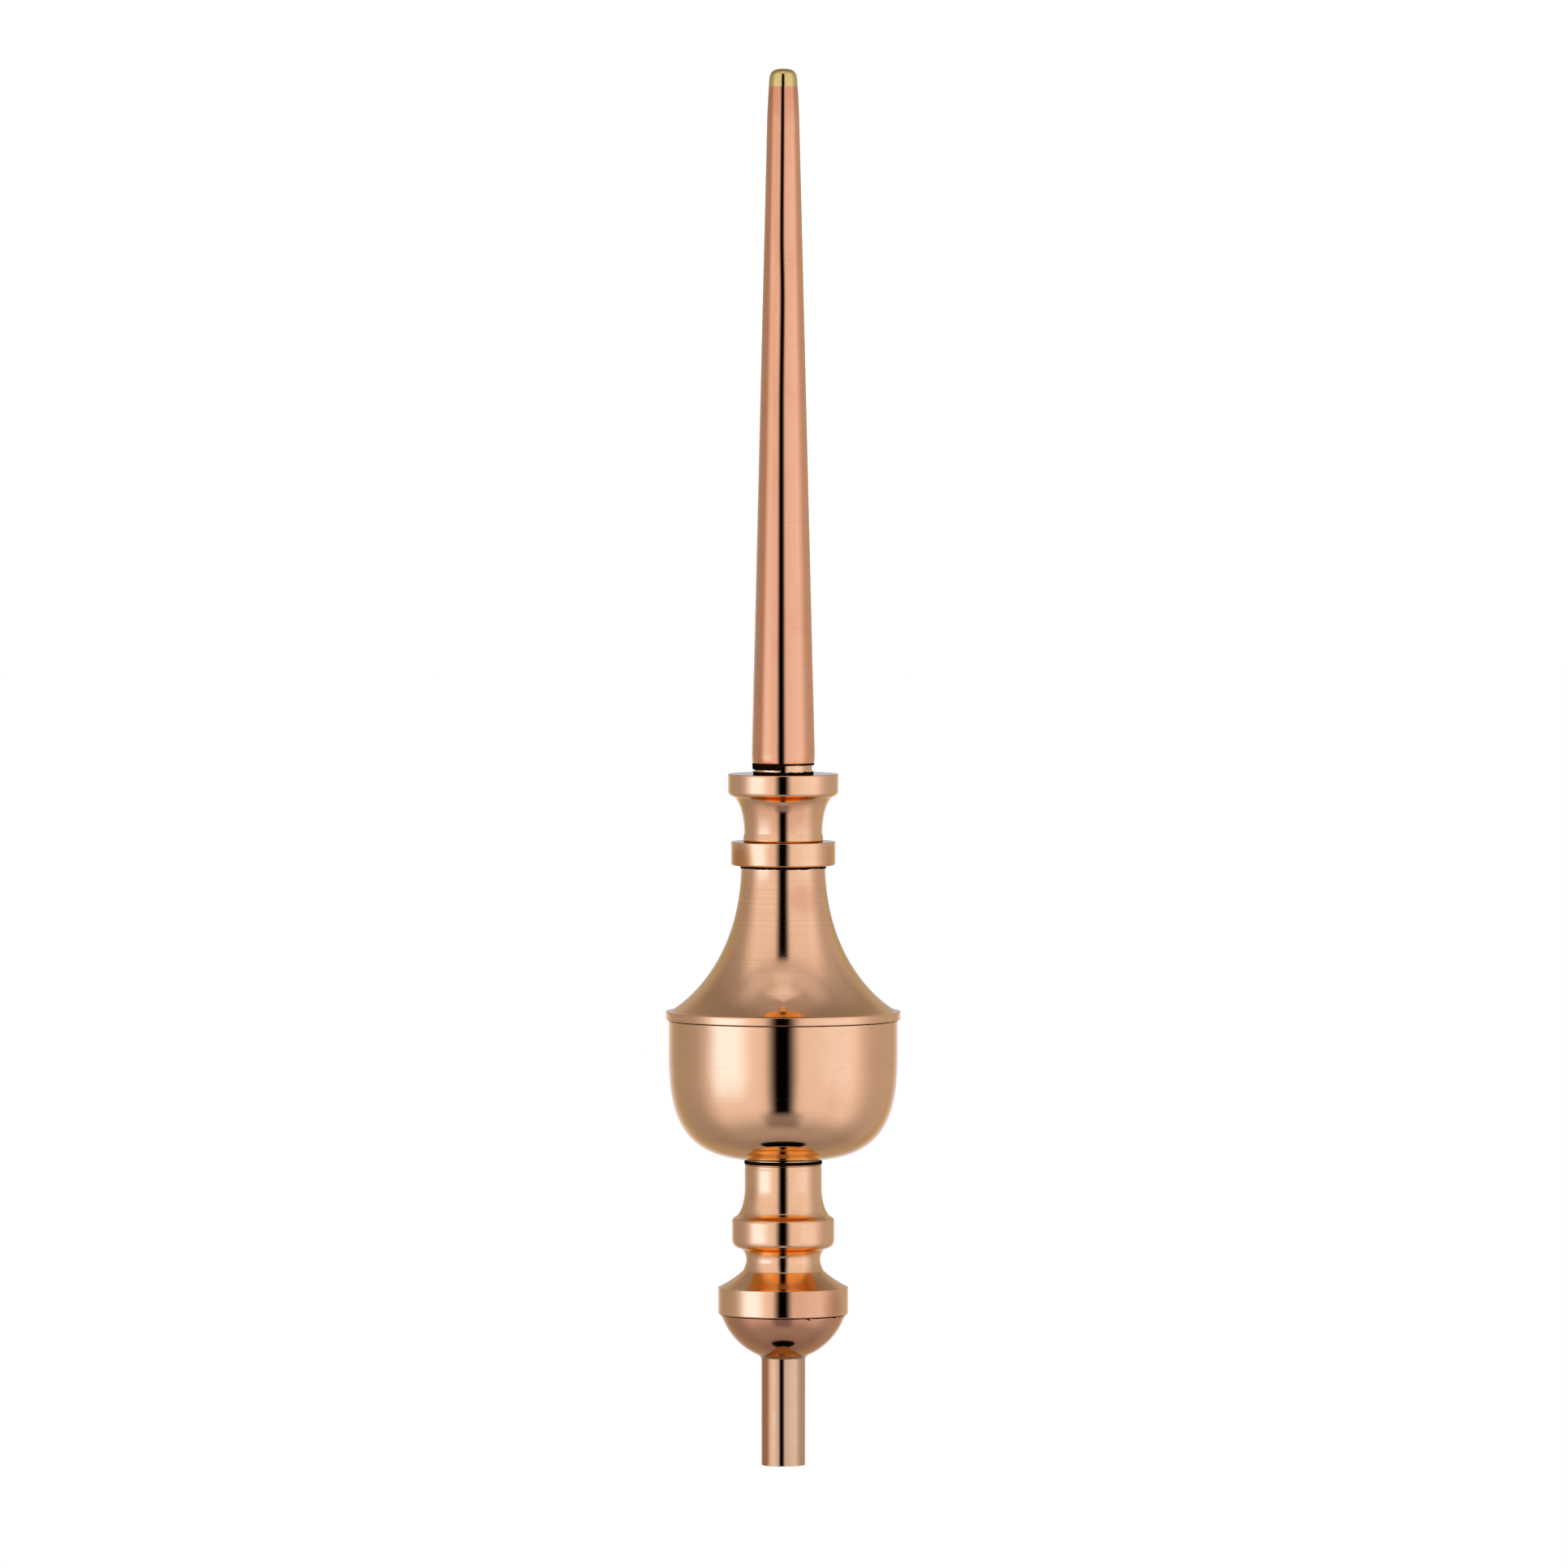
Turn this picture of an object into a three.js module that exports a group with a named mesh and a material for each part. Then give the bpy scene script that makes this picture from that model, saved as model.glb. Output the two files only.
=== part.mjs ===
// A roof finial of spun and polished copper: a tapered spire with a brazed brass nose, a turned
// collar, an urn made of a flared cover over a round bowl, a turned baluster that ends in a half
// ball, and a length of copper tube that takes the post of a ridge bracket.
// Millimetres, +Z up, origin at the centre of the tube's open lower end.
// Every piece is turned about the Z axis. The sealed shells are modelled solid, and the tube is
// open. Each outline is drawn at its own height on the axis, so that pieces meet face to face.
import * as THREE from "three";

// How finely the round work is faceted
const SIDES = 44;
const BEND_STEPS = 4;

// Stem tube, a standard copper water tube
const TUBE_DIAMETER = 22.2;
const TUBE_WALL = 1.1;
const TUBE_SHOWING = 55.1;

// Half ball at the foot, with the hole that the tube is soldered into
const BALL_DIAMETER = 65.8;
const SEAM_BELOW_EQUATOR = 9.6;
const SOLDER_GAP = 0.2;

// Baluster: the skirt over the half ball, a cove, the bead and the sleeve
const SKIRT_LAP = 1.43;
const SKIRT_HEIGHT = 13.7;
const SKIRT_CORNER = 0.8;
const WAIST_DIAMETER = 37.6;
const SHOULDER_RISE = 13.8;
const UNDERCUT_RISE = 5.9;
const BEAD_DIAMETER = 51.8;
const BEAD_HEIGHT = 16.3;
const BEAD_CORNER = 4.5;
const SLEEVE_DIAMETER = 39.0;
const SLEEVE_HEIGHT = 26.0;
const SLEEVE_CORNER = 0.4;
const NECK_GROOVE_DEPTH = 0.5;
const NECK_GROOVE_HEIGHT = 2.4;

// Urn: the bowl's side follows a squared ellipse down to its seat on the baluster
const BOWL_DIAMETER = 115.8;
const BOWL_SIDE_HEIGHT = 9.4;
const BOWL_ROUND_HEIGHT = 62.0;
const BOWL_SQUARENESS = 3.3;
const BOWL_STEPS = 13;
const RIM_LAP = 1.4;
const RIM_HEIGHT = 4.3;
const RIM_CORNER = 0.7;
const RIM_LEDGE = 1.85;
const FLARE_HEIGHT = 73.7;
const FLARE_STEPS = 10;
const COVER_TOP_DIAMETER = 42.7;

// Ring between the urn and the collar
const RING_DIAMETER = 52.8;
const RING_HEIGHT = 12.0;
const RING_LOWER_CORNER = 1.2;
const RING_UPPER_CORNER = 0.5;

// Collar: a lip, a cove and a flange, with a short spigot for the spire
const LIP_DIAMETER = 40.5;
const LIP_HEIGHT = 1.8;
const LIP_CORNER = 1.0;
const COLLAR_WAIST_DIAMETER = 39.5;
const COVE_HEIGHT = 20.8;
const FLANGE_DIAMETER = 55.8;
const FLANGE_HEIGHT = 11.6;
const FLANGE_LOWER_CORNER = 3.0;
const FLANGE_UPPER_CORNER = 0.7;
const SPIGOT_DIAMETER = 29.4;
const SPIGOT_HEIGHT = 5.0;

// Spire and its brass nose
const SPIRE_FOOT_DIAMETER = 31.9;
const SPIRE_NOSE_DIAMETER = 14.6;
const SPIRE_LENGTH = 341.5;
const FOOT_CRIMP = 0.6;
const FOOT_CRIMP_HEIGHT = 5.0;
const NOSE_TAPER_HEIGHT = 14.0;
const NOSE_HEIGHT = 9.0;

// Radii that two pieces share
const tubeRadius = TUBE_DIAMETER / 2;
const tubeHoleRadius = tubeRadius + SOLDER_GAP;
const ballRadius = BALL_DIAMETER / 2;
const seamRadius = Math.sqrt(ballRadius ** 2 - SEAM_BELOW_EQUATOR ** 2);
const bowlRadius = BOWL_DIAMETER / 2;
const bowlSeatRadius = SLEEVE_DIAMETER / 2 - NECK_GROOVE_DEPTH;
const coverTopRadius = COVER_TOP_DIAMETER / 2;
const noseRadius = SPIRE_NOSE_DIAMETER / 2;

// Where the squared ellipse of the bowl reaches its seat, as an angle from its side
const bowlSeatAngle = Math.acos((bowlSeatRadius / bowlRadius) ** (BOWL_SQUARENESS / 2));
const bowlRoundDrop = BOWL_ROUND_HEIGHT * Math.sin(bowlSeatAngle) ** (2 / BOWL_SQUARENESS);

// Heights on the axis, from the tube's open end up
const ballCentre = TUBE_SHOWING + Math.sqrt(ballRadius ** 2 - tubeRadius ** 2);
const seamLevel = ballCentre - SEAM_BELOW_EQUATOR;
const skirtTop = seamLevel + SKIRT_HEIGHT;
const waistLevel = skirtTop + SHOULDER_RISE;
const beadFoot = waistLevel + UNDERCUT_RISE;
const beadTop = beadFoot + BEAD_HEIGHT;
const sleeveTop = beadTop + SLEEVE_HEIGHT;
const bowlFoot = sleeveTop + NECK_GROOVE_HEIGHT;
const bowlEquator = bowlFoot + bowlRoundDrop;
const rimFoot = bowlEquator + BOWL_SIDE_HEIGHT;
const rimTop = rimFoot + RIM_HEIGHT;
const ringFoot = rimTop + FLARE_HEIGHT;
const collarFoot = ringFoot + RING_HEIGHT;
const flangeFoot = collarFoot + LIP_HEIGHT + COVE_HEIGHT;
const flangeTop = flangeFoot + FLANGE_HEIGHT;
const spireFoot = flangeTop + SPIGOT_HEIGHT;
const noseFoot = spireFoot + SPIRE_LENGTH;

/** Polished copper, as the spinning lathe and the buffing wheel leave it. */
function copper() {
  return new THREE.MeshStandardMaterial({ color: 0xd9a07a, roughness: 0.18, metalness: 1 });
}

/** Brass, which shows only where the spire's nose is brazed shut. */
function brass() {
  return new THREE.MeshStandardMaterial({ color: 0xcdb36b, roughness: 0.22, metalness: 1 });
}

/** Turns an outline of radius and height about the Z axis into one named mesh. */
function turned(name, outline, material, bendSteps = BEND_STEPS) {
  const geometry = new THREE.LatheGeometry(outline.getPoints(bendSteps), SIDES);
  geometry.rotateX(Math.PI / 2);
  const mesh = new THREE.Mesh(geometry, material);
  mesh.name = name;
  return mesh;
}

/** Starts a solid piece's outline on the axis, at its foot. */
function fromAxis(level) {
  return new THREE.Path().moveTo(0, level);
}

/** The copper tube, open from end to end, up to the underside of the baluster. */
function stemTube() {
  const inner = tubeRadius - TUBE_WALL;
  const outline = new THREE.Path()
    .moveTo(inner, 0)
    .lineTo(tubeRadius, 0)
    .lineTo(tubeRadius, seamLevel)
    .lineTo(inner, seamLevel)
    .lineTo(inner, 0);
  return turned("stem_tube", outline, copper());
}

/** The half ball, from the hole that the tube passes up to its seam with the skirt. */
function bottomCup() {
  const holeLevel = ballCentre - Math.sqrt(ballRadius ** 2 - tubeHoleRadius ** 2);
  const holeAngle = -Math.acos(tubeHoleRadius / ballRadius);
  const seamAngle = -Math.asin(SEAM_BELOW_EQUATOR / ballRadius);
  const outline = new THREE.Path()
    .moveTo(tubeHoleRadius, holeLevel)
    .absarc(0, ballCentre, ballRadius, holeAngle, seamAngle)
    .lineTo(tubeHoleRadius, seamLevel)
    .lineTo(tubeHoleRadius, holeLevel);
  return turned("bottom_cup", outline, copper());
}

/** The baluster: skirt, sloping shoulder, waist, undercut, bead, sleeve and the grooved neck. */
function baluster() {
  const skirt = seamRadius + SKIRT_LAP;
  const waist = WAIST_DIAMETER / 2;
  const bead = BEAD_DIAMETER / 2;
  const sleeve = SLEEVE_DIAMETER / 2;
  const slope = skirt - waist;
  const overhang = bead - waist;
  const beadReturn = bead - sleeve;
  const outline = fromAxis(seamLevel)
    .lineTo(skirt - SKIRT_CORNER, seamLevel)
    .quadraticCurveTo(skirt, seamLevel, skirt, seamLevel + SKIRT_CORNER)
    .lineTo(skirt, skirtTop)
    .bezierCurveTo(
      skirt - 0.32 * slope,
      skirtTop + 0.15 * SHOULDER_RISE,
      waist + 0.32 * slope,
      skirtTop + 0.39 * SHOULDER_RISE,
      waist + 0.11 * slope,
      skirtTop + 0.6 * SHOULDER_RISE,
    )
    .bezierCurveTo(
      waist + 0.05 * slope,
      skirtTop + 0.71 * SHOULDER_RISE,
      waist,
      skirtTop + 0.83 * SHOULDER_RISE,
      waist,
      waistLevel,
    )
    .bezierCurveTo(
      waist,
      waistLevel + 0.6 * UNDERCUT_RISE,
      waist + 0.3 * overhang,
      waistLevel + 0.95 * UNDERCUT_RISE,
      waist + 0.5 * overhang,
      beadFoot,
    )
    .quadraticCurveTo(bead, beadFoot + 0.2 * BEAD_CORNER, bead, beadFoot + BEAD_CORNER)
    .lineTo(bead, beadTop - 0.6 * BEAD_CORNER)
    .quadraticCurveTo(bead, beadTop - 0.25 * BEAD_CORNER, bead - 0.38 * beadReturn, beadTop)
    .bezierCurveTo(
      sleeve + 0.3 * beadReturn,
      beadTop + 0.08 * SLEEVE_HEIGHT,
      sleeve + 0.06 * beadReturn,
      beadTop + 0.22 * SLEEVE_HEIGHT,
      sleeve,
      beadTop + 0.52 * SLEEVE_HEIGHT,
    )
    .lineTo(sleeve, sleeveTop - SLEEVE_CORNER)
    .lineTo(sleeve - SLEEVE_CORNER, sleeveTop)
    .lineTo(bowlSeatRadius, sleeveTop)
    .lineTo(bowlSeatRadius, bowlFoot)
    .lineTo(0, bowlFoot);
  return turned("baluster", outline, copper());
}

/** The bowl: a flat seat, a squared ellipse round the bottom and a short upright side. */
function urnBowl() {
  const outline = fromAxis(bowlFoot).lineTo(bowlSeatRadius, bowlFoot);
  for (let i = 1; i <= BOWL_STEPS; i++) {
    const angle = bowlSeatAngle * (1 - i / BOWL_STEPS);
    const radius = bowlRadius * Math.cos(angle) ** (2 / BOWL_SQUARENESS);
    const drop = BOWL_ROUND_HEIGHT * Math.sin(angle) ** (2 / BOWL_SQUARENESS);
    outline.lineTo(radius, bowlEquator - drop);
  }
  outline.lineTo(bowlRadius, rimFoot).lineTo(0, rimFoot);
  return turned("urn_bowl", outline, copper());
}

/** The cover: a rim that laps the bowl, a narrow ledge and the long flare up to the ring. */
function urnCover() {
  const rim = bowlRadius + RIM_LAP;
  const flareFoot = rim - RIM_LEDGE - RIM_CORNER;
  const sweep = flareFoot - coverTopRadius;
  const flare = new THREE.CubicBezierCurve(
    new THREE.Vector2(flareFoot, rimTop),
    new THREE.Vector2(flareFoot - 0.455 * sweep, rimTop + 0.139 * FLARE_HEIGHT),
    new THREE.Vector2(coverTopRadius, rimTop + 0.465 * FLARE_HEIGHT),
    new THREE.Vector2(coverTopRadius, ringFoot),
  );
  const outline = fromAxis(rimFoot)
    .lineTo(rim, rimFoot)
    .lineTo(rim, rimTop - RIM_CORNER)
    .lineTo(rim - RIM_CORNER, rimTop)
    .lineTo(flareFoot, rimTop);
  for (const point of flare.getPoints(FLARE_STEPS).slice(1)) {
    outline.lineTo(point.x, point.y);
  }
  outline.lineTo(0, ringFoot);
  return turned("urn_cover", outline, copper());
}

/** The plain ring that closes the cover and carries the collar. */
function collarRing() {
  const ring = RING_DIAMETER / 2;
  const outline = fromAxis(ringFoot)
    .lineTo(ring - RING_LOWER_CORNER, ringFoot)
    .quadraticCurveTo(ring, ringFoot, ring, ringFoot + RING_LOWER_CORNER)
    .lineTo(ring, collarFoot - RING_UPPER_CORNER)
    .lineTo(ring - RING_UPPER_CORNER, collarFoot)
    .lineTo(0, collarFoot);
  return turned("collar_ring", outline, copper(), BEND_STEPS / 2);
}

/** The collar: a small lip, a cove that opens upwards, the flange and the spire's spigot. */
function upperCollar() {
  const lip = LIP_DIAMETER / 2;
  const waist = COLLAR_WAIST_DIAMETER / 2;
  const flange = FLANGE_DIAMETER / 2;
  const spigot = SPIGOT_DIAMETER / 2;
  const opening = flange - waist;
  const lipTop = collarFoot + LIP_HEIGHT;
  const outline = fromAxis(collarFoot)
    .lineTo(lip - LIP_CORNER, collarFoot)
    .quadraticCurveTo(lip, collarFoot, lip, collarFoot + 0.6 * LIP_HEIGHT)
    .lineTo(waist, lipTop + 0.1 * COVE_HEIGHT)
    .bezierCurveTo(
      waist,
      lipTop + 0.55 * COVE_HEIGHT,
      waist + 0.3 * opening,
      lipTop + 0.92 * COVE_HEIGHT,
      waist + 0.68 * opening,
      flangeFoot,
    )
    .quadraticCurveTo(
      flange,
      flangeFoot + 0.3 * FLANGE_LOWER_CORNER,
      flange,
      flangeFoot + FLANGE_LOWER_CORNER,
    )
    .lineTo(flange, flangeTop - FLANGE_UPPER_CORNER)
    .lineTo(flange - FLANGE_UPPER_CORNER, flangeTop)
    .lineTo(spigot, flangeTop)
    .lineTo(spigot, spireFoot)
    .lineTo(0, spireFoot);
  return turned("upper_collar", outline, copper());
}

/** The spire: crimped in a little at its foot, straight, then drawn in to the nose. */
function spire() {
  const foot = SPIRE_FOOT_DIAMETER / 2;
  const taperStart = noseFoot - NOSE_TAPER_HEIGHT;
  const straightShare = (taperStart - spireFoot) / SPIRE_LENGTH;
  const straightTop = foot + (noseRadius * 1.06 - foot) * straightShare;
  const outline = fromAxis(spireFoot)
    .lineTo(foot - FOOT_CRIMP, spireFoot)
    .quadraticCurveTo(
      foot,
      spireFoot + 0.3 * FOOT_CRIMP_HEIGHT,
      foot,
      spireFoot + FOOT_CRIMP_HEIGHT,
    )
    .lineTo(straightTop, taperStart)
    .quadraticCurveTo(noseRadius * 1.05, noseFoot - 0.4 * NOSE_TAPER_HEIGHT, noseRadius, noseFoot)
    .lineTo(0, noseFoot);
  return turned("spire", outline, copper(), BEND_STEPS / 2);
}

/** The brass nose: a short blunt dome on the spire's upper end. */
function brassNose() {
  const outline = fromAxis(noseFoot)
    .lineTo(noseRadius, noseFoot)
    .bezierCurveTo(
      0.95 * noseRadius,
      noseFoot + 0.6 * NOSE_HEIGHT,
      1.05 * noseRadius,
      noseFoot + NOSE_HEIGHT,
      0,
      noseFoot + NOSE_HEIGHT,
    );
  return turned("brass_nose", outline, brass());
}

const head = new THREE.Group().add(upperCollar(), spire(), brassNose());
const urn = new THREE.Group().add(urnBowl(), urnCover(), collarRing());
const foot = new THREE.Group().add(stemTube(), bottomCup(), baluster());
const finial = new THREE.Group().add(foot, urn, head);

export default finial;
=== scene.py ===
"""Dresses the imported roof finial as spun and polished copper, brazed and soldered, in a white studio."""

import logging
import math
from dataclasses import dataclass
from enum import Enum
from typing import Any

import bpy
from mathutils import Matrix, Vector


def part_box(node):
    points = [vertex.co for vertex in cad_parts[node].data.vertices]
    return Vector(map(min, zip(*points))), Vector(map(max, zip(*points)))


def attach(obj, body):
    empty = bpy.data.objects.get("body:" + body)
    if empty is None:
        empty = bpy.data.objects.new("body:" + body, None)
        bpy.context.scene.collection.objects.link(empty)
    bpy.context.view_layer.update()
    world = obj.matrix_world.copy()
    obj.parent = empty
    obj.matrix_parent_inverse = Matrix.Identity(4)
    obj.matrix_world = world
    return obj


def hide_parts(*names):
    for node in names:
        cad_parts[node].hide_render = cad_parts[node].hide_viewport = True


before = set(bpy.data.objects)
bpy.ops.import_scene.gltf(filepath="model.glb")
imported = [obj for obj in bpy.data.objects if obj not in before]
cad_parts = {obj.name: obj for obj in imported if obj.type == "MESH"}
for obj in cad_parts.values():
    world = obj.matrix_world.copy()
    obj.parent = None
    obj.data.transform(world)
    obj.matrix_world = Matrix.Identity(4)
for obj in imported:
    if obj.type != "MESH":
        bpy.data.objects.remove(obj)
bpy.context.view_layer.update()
LOG = logging.getLogger("roof_finial")

Tree = bpy.types.NodeTree
Node = bpy.types.Node
Socket = bpy.types.NodeSocket
Pair = tuple[float, float]
Light = tuple[float, float, float]

MM = 0.001
# Sides of a small and of a large turned piece, and the distance under which spun points are one.
SPIN_STEPS = 192
FINE_SPIN_STEPS = 256
MERGE_DISTANCE = 2e-6
# Millimetres between points on a straight wall, and from a wall's end to the point that holds its edge.
WALL_STEP = 2.5
EDGE_HOLD = 0.12
SHARP_ANGLE = math.radians(38)
# What the studio's lights are tinted with.
CLOTH_TINT = "b0bbff"
SOFTBOX_TINT = "9fb1ff"
DAYLIGHT_TINT = "5992ff"
WHITE_TINT = "ffffff"
BLUE_GEL_TINT = "0055ff"


def linear(code: str) -> tuple[float, float, float, float]:
    """Turns an sRGB hex colour into a linear one.

    Args:
        code: six hex digits, as in "c87850".

    Returns:
        Linear red, green, blue and an alpha of one.
    """
    parts = [int(code[i : i + 2], 16) / 255 for i in (0, 2, 4)]
    red, green, blue = (p / 12.92 if p <= 0.04045 else ((p + 0.055) / 1.055) ** 2.4 for p in parts)
    return (red, green, blue, 1.0)


def add_node(tree: Tree, kind: str, inputs: dict[str | int, Any], **settings: Any) -> Node:
    """Adds one node with its settings, its values and its links.

    Args:
        tree: the node tree that gets the node.
        kind: Blender's name of the node's type.
        inputs: a value or an output socket for each named or numbered input.
        settings: the node's own properties.

    Returns:
        The new node.
    """
    node = tree.nodes.new(kind)
    for key, value in settings.items():
        setattr(node, key, value)
    for key, value in inputs.items():
        if isinstance(value, Socket):
            tree.links.new(value, node.inputs[key])
        else:
            node.inputs[key].default_value = value
    return node


def tinted(tint: str, strength: float) -> Light:
    """Tints a light.

    Args:
        tint: the tint's hex colour.
        strength: the light's strength, which its green has.

    Returns:
        The light's red, green and blue.
    """
    red, green, blue, _ = linear(tint)
    return (red / green * strength, strength, blue / green * strength)


def blank_material(name: str) -> tuple[bpy.types.Material, Tree]:
    """Starts a material with no nodes in it.

    Args:
        name: the finish's name.

    Returns:
        The material and its empty node tree.
    """
    made = bpy.data.materials.new(name)
    made.use_nodes = True
    made.node_tree.nodes.clear()
    return made, made.node_tree


def fill_ramp(ramp: Node, marks: list[tuple[float, Light]]) -> None:
    """Gives a colour ramp its stops.

    Args:
        ramp: the ramp, as Blender adds it.
        marks: the place, from 0 to 1, and the colour of each stop.
    """
    stops = ramp.color_ramp.elements
    while len(stops) < len(marks):
        stops.new(0.5)
    for stop, (place, colour) in zip(stops, marks):
        stop.position = place
        stop.color = (*colour, 1.0)


def bearing(tree: Tree, axes: Node) -> Socket:
    """Finds the angle of a place or direction round the Z axis.

    Args:
        tree: the node tree.
        axes: the place or direction, split in three.

    Returns:
        Degrees from the camera's side, which is zero, growing to the camera's right.
    """
    ahead = add_node(tree, "ShaderNodeMath", {0: axes.outputs["Y"], 1: -1.0}, operation="MULTIPLY")
    turn = add_node(
        tree, "ShaderNodeMath", {0: axes.outputs["X"], 1: ahead.outputs[0]}, operation="ARCTAN2"
    )
    return add_node(tree, "ShaderNodeMath", {0: turn.outputs[0]}, operation="DEGREES").outputs[0]


def ragged_fade(tree: Tree, gap: Socket, clouds: Node, wander: float, ends: Pair, amount: float) -> Socket:
    """Fades an amount out, at an edge that the clouds move.

    Args:
        tree: the copper's node tree.
        gap: how far the point is from the middle of what fades.
        clouds: the noise that makes the edge wander.
        wander: how far the noise moves the edge.
        ends: the gaps where the fade starts and stops.
        amount: the amount before the fade.

    Returns:
        The amount at each point.
    """
    inputs = {0: clouds.outputs["Fac"], 1: -wander, 2: gap}
    ragged = add_node(tree, "ShaderNodeMath", inputs, operation="MULTIPLY_ADD").outputs[0]
    inputs = {"Value": ragged, "From Min": ends[0], "From Max": ends[1], "To Min": amount, "To Max": 0.0}
    return add_node(tree, "ShaderNodeMapRange", inputs, interpolation_type="SMOOTHSTEP").outputs[0]


class Outline:
    """Half of a turned piece's section, as points of radius and height in millimetres."""

    def __init__(self, radius: float, height: float) -> None:
        """Starts the outline at one point."""
        self.points: list[Vector] = [Vector((radius, height))]

    def line(self, radius: float, height: float) -> "Outline":
        """Runs straight to a point, with extra points near both ends that keep the shading flat.

        Args:
            radius: the end's radius.
            height: the end's height.

        Returns:
            The same outline.
        """
        start, end = self.points[-1], Vector((radius, height))
        length = (end - start).length
        marks: list[float] = []
        if length > 6 * EDGE_HOLD:
            pieces = max(1, round(length / WALL_STEP))
            inner = [i / pieces for i in range(1, pieces)]
            marks = [EDGE_HOLD / length, *inner, 1 - EDGE_HOLD / length]
        self.points += [start.lerp(end, mark) for mark in marks]
        self.points.append(end)
        return self

    def bend(self, corner: Pair, end: Pair, steps: int = 6) -> "Outline":
        """Rounds a corner to a point on its far side.

        Args:
            corner: the corner that the curve pulls towards.
            end: the curve's end.
            steps: how many short edges the curve has.

        Returns:
            The same outline.
        """
        start, pull, stop = self.points[-1], Vector(corner), Vector(end)
        for i in range(1, steps + 1):
            t = i / steps
            self.points.append(start.lerp(pull, t).lerp(pull.lerp(stop, t), t))
        return self

    def sweep(self, first: Pair, second: Pair, end: Pair, steps: int = 26) -> "Outline":
        """Draws a long curve with two handles.

        Args:
            first: the handle at the curve's start.
            second: the handle at the curve's end.
            end: the curve's end.
            steps: how many short edges the curve has.

        Returns:
            The same outline.
        """
        a, b, c, d = self.points[-1], Vector(first), Vector(second), Vector(end)
        for i in range(1, steps + 1):
            t = i / steps
            self.points.append(
                a * (1 - t) ** 3 + b * 3 * t * (1 - t) ** 2 + c * 3 * t * t * (1 - t) + d * t**3
            )
        return self


def spin_up(name: str, outline: Outline, steps: int = SPIN_STEPS) -> bpy.types.Object:
    """Draws an outline point by point and spins it once round the Z axis.

    Args:
        name: the new piece's name.
        outline: the section to spin.
        steps: how many sides the piece has round its axis.

    Returns:
        The closed, smooth-shaded piece.
    """
    bpy.ops.object.select_all(action="DESELECT")
    bpy.ops.mesh.primitive_plane_add(size=MM)
    piece = bpy.context.active_object
    piece.name = piece.data.name = name
    bpy.ops.object.mode_set(mode="EDIT")
    bpy.ops.mesh.merge(type="CENTER")
    here = outline.points[0]
    bpy.ops.transform.translate(value=(here.x * MM, 0, here.y * MM))
    for point in outline.points[1:]:
        step = (point - here) * MM
        bpy.ops.mesh.extrude_vertices_move(TRANSFORM_OT_translate={"value": (step.x, 0, step.y)})
        here = point
    bpy.ops.mesh.select_all(action="SELECT")
    bpy.ops.mesh.spin(steps=steps, angle=math.tau, center=(0, 0, 0), axis=(0, 0, 1))
    bpy.ops.mesh.select_all(action="SELECT")
    bpy.ops.mesh.remove_doubles(threshold=MERGE_DISTANCE)
    bpy.ops.mesh.normals_make_consistent(inside=False)
    bpy.ops.object.mode_set(mode="OBJECT")
    bpy.ops.object.shade_smooth_by_angle(angle=SHARP_ANGLE)
    return piece


class Slot(Enum):
    """The record's material slots."""

    COPPER = "polished_copper"
    TUBE = "copper_tube"
    BRASS = "brass"


@dataclass(frozen=True)
class StainAndReflection:
    """A round patch of warmer copper, by its place and size in millimetres: a stained patch, and on the
    collar's cove a painted reflection of the flange's copper.
    """

    x: float
    y: float
    z: float
    reach: float
    amount: float
    wander: float = 0.9
    edge: Pair = (-0.1, 0.55)

    def weight(self, tree: Tree, place: Socket, clouds: Node) -> Socket:
        """Gives the colouring at each point.

        Args:
            tree: the copper's node tree.
            place: the point's place.
            clouds: the noise that makes the patch's edge wander.

        Returns:
            The amount in the patch, fading to nothing round it.
        """
        centre = (self.x * MM, self.y * MM, self.z * MM)
        gap = add_node(tree, "ShaderNodeVectorMath", {0: place, 1: centre}, operation="DISTANCE")
        wander, ends = self.wander * self.reach * MM, tuple(end * self.reach * MM for end in self.edge)
        return ragged_fade(tree, gap.outputs["Value"], clouds, wander, ends, self.amount)


@dataclass(frozen=True)
class Flank:
    """A tarnished strip that runs up one side. Angles in degrees, azimuth 0 towards the camera."""

    azimuth: float
    full_width: float
    zero_width: float
    amount: float
    wander: float = 22.0

    def weight(self, tree: Tree, axes: Node, clouds: Node) -> Socket:
        """Gives the tarnish at each point.

        Args:
            tree: the copper's node tree.
            axes: the point's place, split in three.
            clouds: the noise that makes the strip's edges wander.

        Returns:
            The amount on the strip, fading to nothing beside it.
        """
        inputs = {0: bearing(tree, axes), 1: self.azimuth}
        offset = add_node(tree, "ShaderNodeMath", inputs, operation="SUBTRACT")
        aside = add_node(tree, "ShaderNodeMath", {0: offset.outputs[0], 1: 180.0}, operation="PINGPONG")
        ends = (self.full_width - self.wander / 2, self.zero_width - self.wander / 2)
        return ragged_fade(tree, aside.outputs[0], clouds, self.wander, ends, self.amount)


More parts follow.
